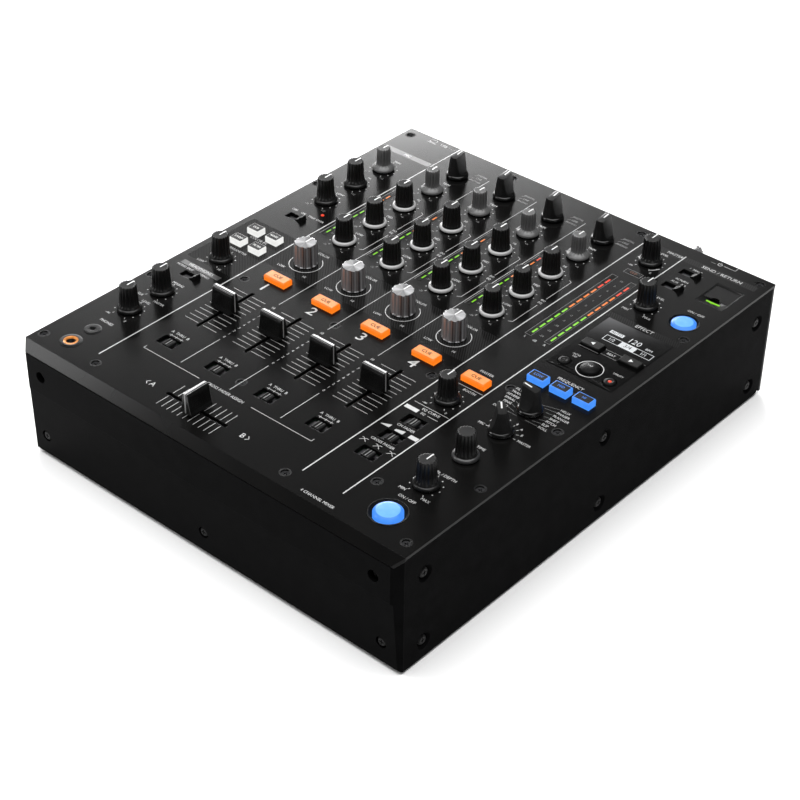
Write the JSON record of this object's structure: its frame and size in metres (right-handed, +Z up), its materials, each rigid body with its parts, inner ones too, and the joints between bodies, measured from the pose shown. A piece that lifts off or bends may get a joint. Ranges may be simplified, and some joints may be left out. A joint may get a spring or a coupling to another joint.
{
  "type": "dj mixer",
  "caption": "Flat black tabletop DJ mixer with rows of knobs, lit cue buttons, level meters, channel faders, a crossfader and an effects section with a small display.",
  "frame": {"origin": "middle of the footprint, on the surface that the feet stand on", "axes": "+X to the right seen from the user's side, +Y to the rear, +Z up"},
  "size_m": [0.32, 0.3874, 0.1076],
  "materials": {
    "panel_steel": "satin black paint with white print",
    "case_paint": "fine-textured black paint",
    "front_plastic": "satin black moulding",
    "foot_rubber": "matt",
    "screw_steel": "blackened steel",
    "board_laminate": "lacquered laminate",
    "insert_gloss": "polished black",
    "socket_metal": "nickel plate",
    "button_orange": "lit translucent",
    "button_white": "lit translucent",
    "button_blue": "lit translucent",
    "button_black": "satin",
    "knob_black": "soft-touch matt",
    "knob_grey": "soft-touch matt",
    "knob_metal": "turned and bright-cut"
  },
  "bodies": {
    "case": {"top_panel": "panel_steel", "front_panel": "front_plastic", "side_walls": "case_paint", "bottom_tray": "case_paint", "rear_panel": "case_paint", "feet": "foot_rubber", "screws": "screw_steel", "circuit_boards": "board_laminate", "panel_inserts": "insert_gloss", "sockets": "socket_metal"},
    "channel_1_source_selector_body": {"channel_1_source_selector": "knob_black"},
    "channel_1_trim_knob_body": {"channel_1_trim_knob": "knob_grey"},
    "channel_1_high_knob_body": {"channel_1_high_knob": "knob_black"},
    "channel_1_mid_knob_body": {"channel_1_mid_knob": "knob_black"},
    "channel_1_low_knob_body": {"channel_1_low_knob": "knob_black"},
    "channel_1_color_knob_body": {"channel_1_color_knob": "knob_metal"},
    "channel_2_source_selector_body": {"channel_2_source_selector": "knob_black"},
    "channel_2_trim_knob_body": {"channel_2_trim_knob": "knob_grey"},
    "channel_2_high_knob_body": {"channel_2_high_knob": "knob_black"},
    "channel_2_mid_knob_body": {"channel_2_mid_knob": "knob_black"},
    "channel_2_low_knob_body": {"channel_2_low_knob": "knob_black"},
    "channel_2_color_knob_body": {"channel_2_color_knob": "knob_metal"},
    "channel_3_source_selector_body": {"channel_3_source_selector": "knob_black"},
    "channel_3_trim_knob_body": {"channel_3_trim_knob": "knob_grey"},
    "channel_3_high_knob_body": {"channel_3_high_knob": "knob_black"},
    "channel_3_mid_knob_body": {"channel_3_mid_knob": "knob_black"},
    "channel_3_low_knob_body": {"channel_3_low_knob": "knob_black"},
    "channel_3_color_knob_body": {"channel_3_color_knob": "knob_metal"},
    "channel_4_source_selector_body": {"channel_4_source_selector": "knob_black"},
    "channel_4_trim_knob_body": {"channel_4_trim_knob": "knob_grey"},
    "channel_4_high_knob_body": {"channel_4_high_knob": "knob_black"},
    "channel_4_mid_knob_body": {"channel_4_mid_knob": "knob_black"},
    "channel_4_low_knob_body": {"channel_4_low_knob": "knob_black"},
    "channel_4_color_knob_body": {"channel_4_color_knob": "knob_metal"},
    "mic_trim_knob_body": {"mic_trim_knob": "knob_grey"},
    "mic_high_knob_body": {"mic_high_knob": "knob_black"},
    "mic_low_knob_body": {"mic_low_knob": "knob_black"},
    "color_parameter_knob_body": {"color_parameter_knob": "knob_black"},
    "headphones_mixing_knob_body": {"headphones_mixing_knob": "knob_black"},
    "headphones_level_knob_body": {"headphones_level_knob": "knob_black"},
    "master_level_knob_body": {"master_level_knob": "knob_black"},
    "booth_level_knob_body": {"booth_level_knob": "knob_black"},
    "return_level_knob_body": {"return_level_knob": "knob_black"},
    "effect_depth_knob_body": {"effect_depth_knob": "knob_black"},
    "effect_selector_body": {"effect_selector": "knob_black"},
    "effect_channel_selector_body": {"effect_channel_selector": "knob_black"},
    "effect_time_knob_body": {"effect_time_knob": "knob_black"},
    "channel_1_fader_body": {"channel_1_fader": "knob_black"},
    "channel_2_fader_body": {"channel_2_fader": "knob_black"},
    "channel_3_fader_body": {"channel_3_fader": "knob_black"},
    "channel_4_fader_body": {"channel_4_fader": "knob_black"},
    "crossfader_body": {"crossfader": "knob_black"},
    "cue_buttons_body": {"cue_buttons": "button_orange"},
    "color_effect_buttons_body": {"color_effect_buttons": "button_white"},
    "blue_buttons_body": {"blue_buttons": "button_blue"},
    "beat_buttons_body": {"beat_buttons": "button_black"},
    "slide_switches_body": {"slide_switches": "button_black"},
    "lever_switches_body": {"lever_switches": "button_black"},
    "usb_cover_body": {"usb_cover": "button_black"},
    "power_button_body": {"power_button": "button_black"}
  },
  "joints": [
    {"name": "channel_1_source_selector_turn", "type": "hinge", "parent": "case", "child": "channel_1_source_selector_body", "pos_m": [-0.0882, 0.15275, 0.0934], "axis": [0, 0, -1], "range_deg": [-60, 60]},
    {"name": "channel_1_trim_knob_turn", "type": "hinge", "parent": "case", "child": "channel_1_trim_knob_body", "pos_m": [-0.0882, 0.12505, 0.0934], "axis": [0, 0, -1], "range_deg": [-150, 150]},
    {"name": "channel_1_high_knob_turn", "type": "hinge", "parent": "case", "child": "channel_1_high_knob_body", "pos_m": [-0.0882, 0.09495, 0.0934], "axis": [0, 0, -1], "range_deg": [-150, 150]},
    {"name": "channel_1_mid_knob_turn", "type": "hinge", "parent": "case", "child": "channel_1_mid_knob_body", "pos_m": [-0.0882, 0.06395, 0.0934], "axis": [0, 0, -1], "range_deg": [-150, 150]},
    {"name": "channel_1_low_knob_turn", "type": "hinge", "parent": "case", "child": "channel_1_low_knob_body", "pos_m": [-0.0882, 0.03285, 0.0934], "axis": [0, 0, -1], "range_deg": [-150, 150]},
    {"name": "channel_1_color_knob_turn", "type": "hinge", "parent": "case", "child": "channel_1_color_knob_body", "pos_m": [-0.0882, -0.00525, 0.0934], "axis": [0, 0, -1], "range_deg": [-150, 150]},
    {"name": "channel_2_source_selector_turn", "type": "hinge", "parent": "case", "child": "channel_2_source_selector_body", "pos_m": [-0.045, 0.15275, 0.0934], "axis": [0, 0, -1], "range_deg": [-60, 60]},
    {"name": "channel_2_trim_knob_turn", "type": "hinge", "parent": "case", "child": "channel_2_trim_knob_body", "pos_m": [-0.045, 0.12505, 0.0934], "axis": [0, 0, -1], "range_deg": [-150, 150]},
    {"name": "channel_2_high_knob_turn", "type": "hinge", "parent": "case", "child": "channel_2_high_knob_body", "pos_m": [-0.045, 0.09495, 0.0934], "axis": [0, 0, -1], "range_deg": [-150, 150]},
    {"name": "channel_2_mid_knob_turn", "type": "hinge", "parent": "case", "child": "channel_2_mid_knob_body", "pos_m": [-0.045, 0.06395, 0.0934], "axis": [0, 0, -1], "range_deg": [-150, 150]},
    {"name": "channel_2_low_knob_turn", "type": "hinge", "parent": "case", "child": "channel_2_low_knob_body", "pos_m": [-0.045, 0.03285, 0.0934], "axis": [0, 0, -1], "range_deg": [-150, 150]},
    {"name": "channel_2_color_knob_turn", "type": "hinge", "parent": "case", "child": "channel_2_color_knob_body", "pos_m": [-0.045, -0.00525, 0.0934], "axis": [0, 0, -1], "range_deg": [-150, 150]},
    {"name": "channel_3_source_selector_turn", "type": "hinge", "parent": "case", "child": "channel_3_source_selector_body", "pos_m": [-0.0018, 0.15275, 0.0934], "axis": [0, 0, -1], "range_deg": [-60, 60]},
    {"name": "channel_3_trim_knob_turn", "type": "hinge", "parent": "case", "child": "channel_3_trim_knob_body", "pos_m": [-0.0018, 0.12505, 0.0934], "axis": [0, 0, -1], "range_deg": [-150, 150]},
    {"name": "channel_3_high_knob_turn", "type": "hinge", "parent": "case", "child": "channel_3_high_knob_body", "pos_m": [-0.0018, 0.09495, 0.0934], "axis": [0, 0, -1], "range_deg": [-150, 150]},
    {"name": "channel_3_mid_knob_turn", "type": "hinge", "parent": "case", "child": "channel_3_mid_knob_body", "pos_m": [-0.0018, 0.06395, 0.0934], "axis": [0, 0, -1], "range_deg": [-150, 150]},
    {"name": "channel_3_low_knob_turn", "type": "hinge", "parent": "case", "child": "channel_3_low_knob_body", "pos_m": [-0.0018, 0.03285, 0.0934], "axis": [0, 0, -1], "range_deg": [-150, 150]},
    {"name": "channel_3_color_knob_turn", "type": "hinge", "parent": "case", "child": "channel_3_color_knob_body", "pos_m": [-0.0018, -0.00525, 0.0934], "axis": [0, 0, -1], "range_deg": [-150, 150]},
    {"name": "channel_4_source_selector_turn", "type": "hinge", "parent": "case", "child": "channel_4_source_selector_body", "pos_m": [0.0414, 0.15275, 0.0934], "axis": [0, 0, -1], "range_deg": [-60, 60]},
    {"name": "channel_4_trim_knob_turn", "type": "hinge", "parent": "case", "child": "channel_4_trim_knob_body", "pos_m": [0.0414, 0.12505, 0.0934], "axis": [0, 0, -1], "range_deg": [-150, 150]},
    {"name": "channel_4_high_knob_turn", "type": "hinge", "parent": "case", "child": "channel_4_high_knob_body", "pos_m": [0.0414, 0.09495, 0.0934], "axis": [0, 0, -1], "range_deg": [-150, 150]},
    {"name": "channel_4_mid_knob_turn", "type": "hinge", "parent": "case", "child": "channel_4_mid_knob_body", "pos_m": [0.0414, 0.06395, 0.0934], "axis": [0, 0, -1], "range_deg": [-150, 150]},
    {"name": "channel_4_low_knob_turn", "type": "hinge", "parent": "case", "child": "channel_4_low_knob_body", "pos_m": [0.0414, 0.03285, 0.0934], "axis": [0, 0, -1], "range_deg": [-150, 150]},
    {"name": "channel_4_color_knob_turn", "type": "hinge", "parent": "case", "child": "channel_4_color_knob_body", "pos_m": [0.0414, -0.00525, 0.0934], "axis": [0, 0, -1], "range_deg": [-150, 150]},
    {"name": "mic_trim_knob_turn", "type": "hinge", "parent": "case", "child": "mic_trim_knob_body", "pos_m": [-0.1344, 0.12505, 0.0934], "axis": [0, 0, -1], "range_deg": [-150, 150]},
    {"name": "mic_high_knob_turn", "type": "hinge", "parent": "case", "child": "mic_high_knob_body", "pos_m": [-0.1344, 0.09495, 0.0934], "axis": [0, 0, -1], "range_deg": [-150, 150]},
    {"name": "mic_low_knob_turn", "type": "hinge", "parent": "case", "child": "mic_low_knob_body", "pos_m": [-0.1344, 0.06395, 0.0934], "axis": [0, 0, -1], "range_deg": [-150, 150]},
    {"name": "color_parameter_knob_turn", "type": "hinge", "parent": "case", "child": "color_parameter_knob_body", "pos_m": [-0.1344, -0.03925, 0.0934], "axis": [0, 0, -1], "range_deg": [-150, 150]},
    {"name": "headphones_mixing_knob_turn", "type": "hinge", "parent": "case", "child": "headphones_mixing_knob_body", "pos_m": [-0.1344, -0.09345, 0.0934], "axis": [0, 0, -1], "range_deg": [-150, 150]},
    {"name": "headphones_level_knob_turn", "type": "hinge", "parent": "case", "child": "headphones_level_knob_body", "pos_m": [-0.1344, -0.12225, 0.0934], "axis": [0, 0, -1], "range_deg": [-150, 150]},
    {"name": "master_level_knob_turn", "type": "hinge", "parent": "case", "child": "master_level_knob_body", "pos_m": [0.082, 0.15205, 0.0934], "axis": [0, 0, -1], "range_deg": [-150, 150]},
    {"name": "booth_level_knob_turn", "type": "hinge", "parent": "case", "child": "booth_level_knob_body", "pos_m": [0.082, -0.05975, 0.0934], "axis": [0, 0, -1], "range_deg": [-150, 150]},
    {"name": "return_level_knob_turn", "type": "hinge", "parent": "case", "child": "return_level_knob_body", "pos_m": [0.1112, 0.10605, 0.0934], "axis": [0, 0, -1], "range_deg": [-150, 150]},
    {"name": "effect_depth_knob_turn", "type": "hinge", "parent": "case", "child": "effect_depth_knob_body", "pos_m": [0.1266, -0.13125, 0.0934], "axis": [0, 0, -1], "range_deg": [-150, 150]},
    {"name": "effect_selector_turn", "type": "hinge", "parent": "case", "child": "effect_selector_body", "pos_m": [0.1266, -0.03525, 0.0934], "axis": [0, 0, -1], "range_deg": [-50, 230]},
    {"name": "effect_channel_selector_turn", "type": "hinge", "parent": "case", "child": "effect_channel_selector_body", "pos_m": [0.1266, -0.06355, 0.0934], "axis": [0, 0, -1], "range_deg": [-47, 133]},
    {"name": "effect_time_knob_turn", "type": "hinge", "parent": "case", "child": "effect_time_knob_body", "pos_m": [0.1266, -0.09605, 0.0934], "axis": [0, 0, -1], "continuous": true},
    {"name": "channel_1_fader_slide", "type": "slide", "parent": "case", "child": "channel_1_fader_body", "axis": [0, 1, 0], "range_m": [-0.022, 0.022]},
    {"name": "channel_2_fader_slide", "type": "slide", "parent": "case", "child": "channel_2_fader_body", "axis": [0, 1, 0], "range_m": [-0.022, 0.022]},
    {"name": "channel_3_fader_slide", "type": "slide", "parent": "case", "child": "channel_3_fader_body", "axis": [0, 1, 0], "range_m": [-0.022, 0.022]},
    {"name": "channel_4_fader_slide", "type": "slide", "parent": "case", "child": "channel_4_fader_body", "axis": [0, 1, 0], "range_m": [-0.022, 0.022]},
    {"name": "crossfader_slide", "type": "slide", "parent": "case", "child": "crossfader_body", "axis": [1, 0, 0], "range_m": [-0.022, 0.022]},
    {"name": "cue_buttons_press", "type": "slide", "parent": "case", "child": "cue_buttons_body", "axis": [0, 0, -1], "range_m": [0, 0.0012], "stiffness_N_per_m": 700, "springref_m": -0.0006},
    {"name": "color_effect_buttons_press", "type": "slide", "parent": "case", "child": "color_effect_buttons_body", "axis": [0, 0, -1], "range_m": [0, 0.0012], "stiffness_N_per_m": 700, "springref_m": -0.0006},
    {"name": "blue_buttons_press", "type": "slide", "parent": "case", "child": "blue_buttons_body", "axis": [0, 0, -1], "range_m": [0, 0.0012], "stiffness_N_per_m": 700, "springref_m": -0.0006},
    {"name": "beat_buttons_press", "type": "slide", "parent": "case", "child": "beat_buttons_body", "axis": [0, 0, -1], "range_m": [0, 0.0012], "stiffness_N_per_m": 700, "springref_m": -0.0006},
    {"name": "slide_switches_slide", "type": "slide", "parent": "case", "child": "slide_switches_body", "axis": [1, 0, 0], "range_m": [-0.0035, 0.0035]},
    {"name": "lever_switches_slide", "type": "slide", "parent": "case", "child": "lever_switches_body", "axis": [-1, 0, 0], "range_m": [0, 0.008]},
    {"name": "usb_cover_hinge", "type": "hinge", "parent": "case", "child": "usb_cover_body", "pos_m": [0.141, 0.1578, 0.0873], "axis": [-1, 0, 0], "range_deg": [0, 110]},
    {"name": "power_button_press", "type": "slide", "parent": "case", "child": "power_button_body", "axis": [0, -1, 0], "range_m": [0, 0.0025], "stiffness_N_per_m": 600, "springref_m": -0.0008}
  ]
}
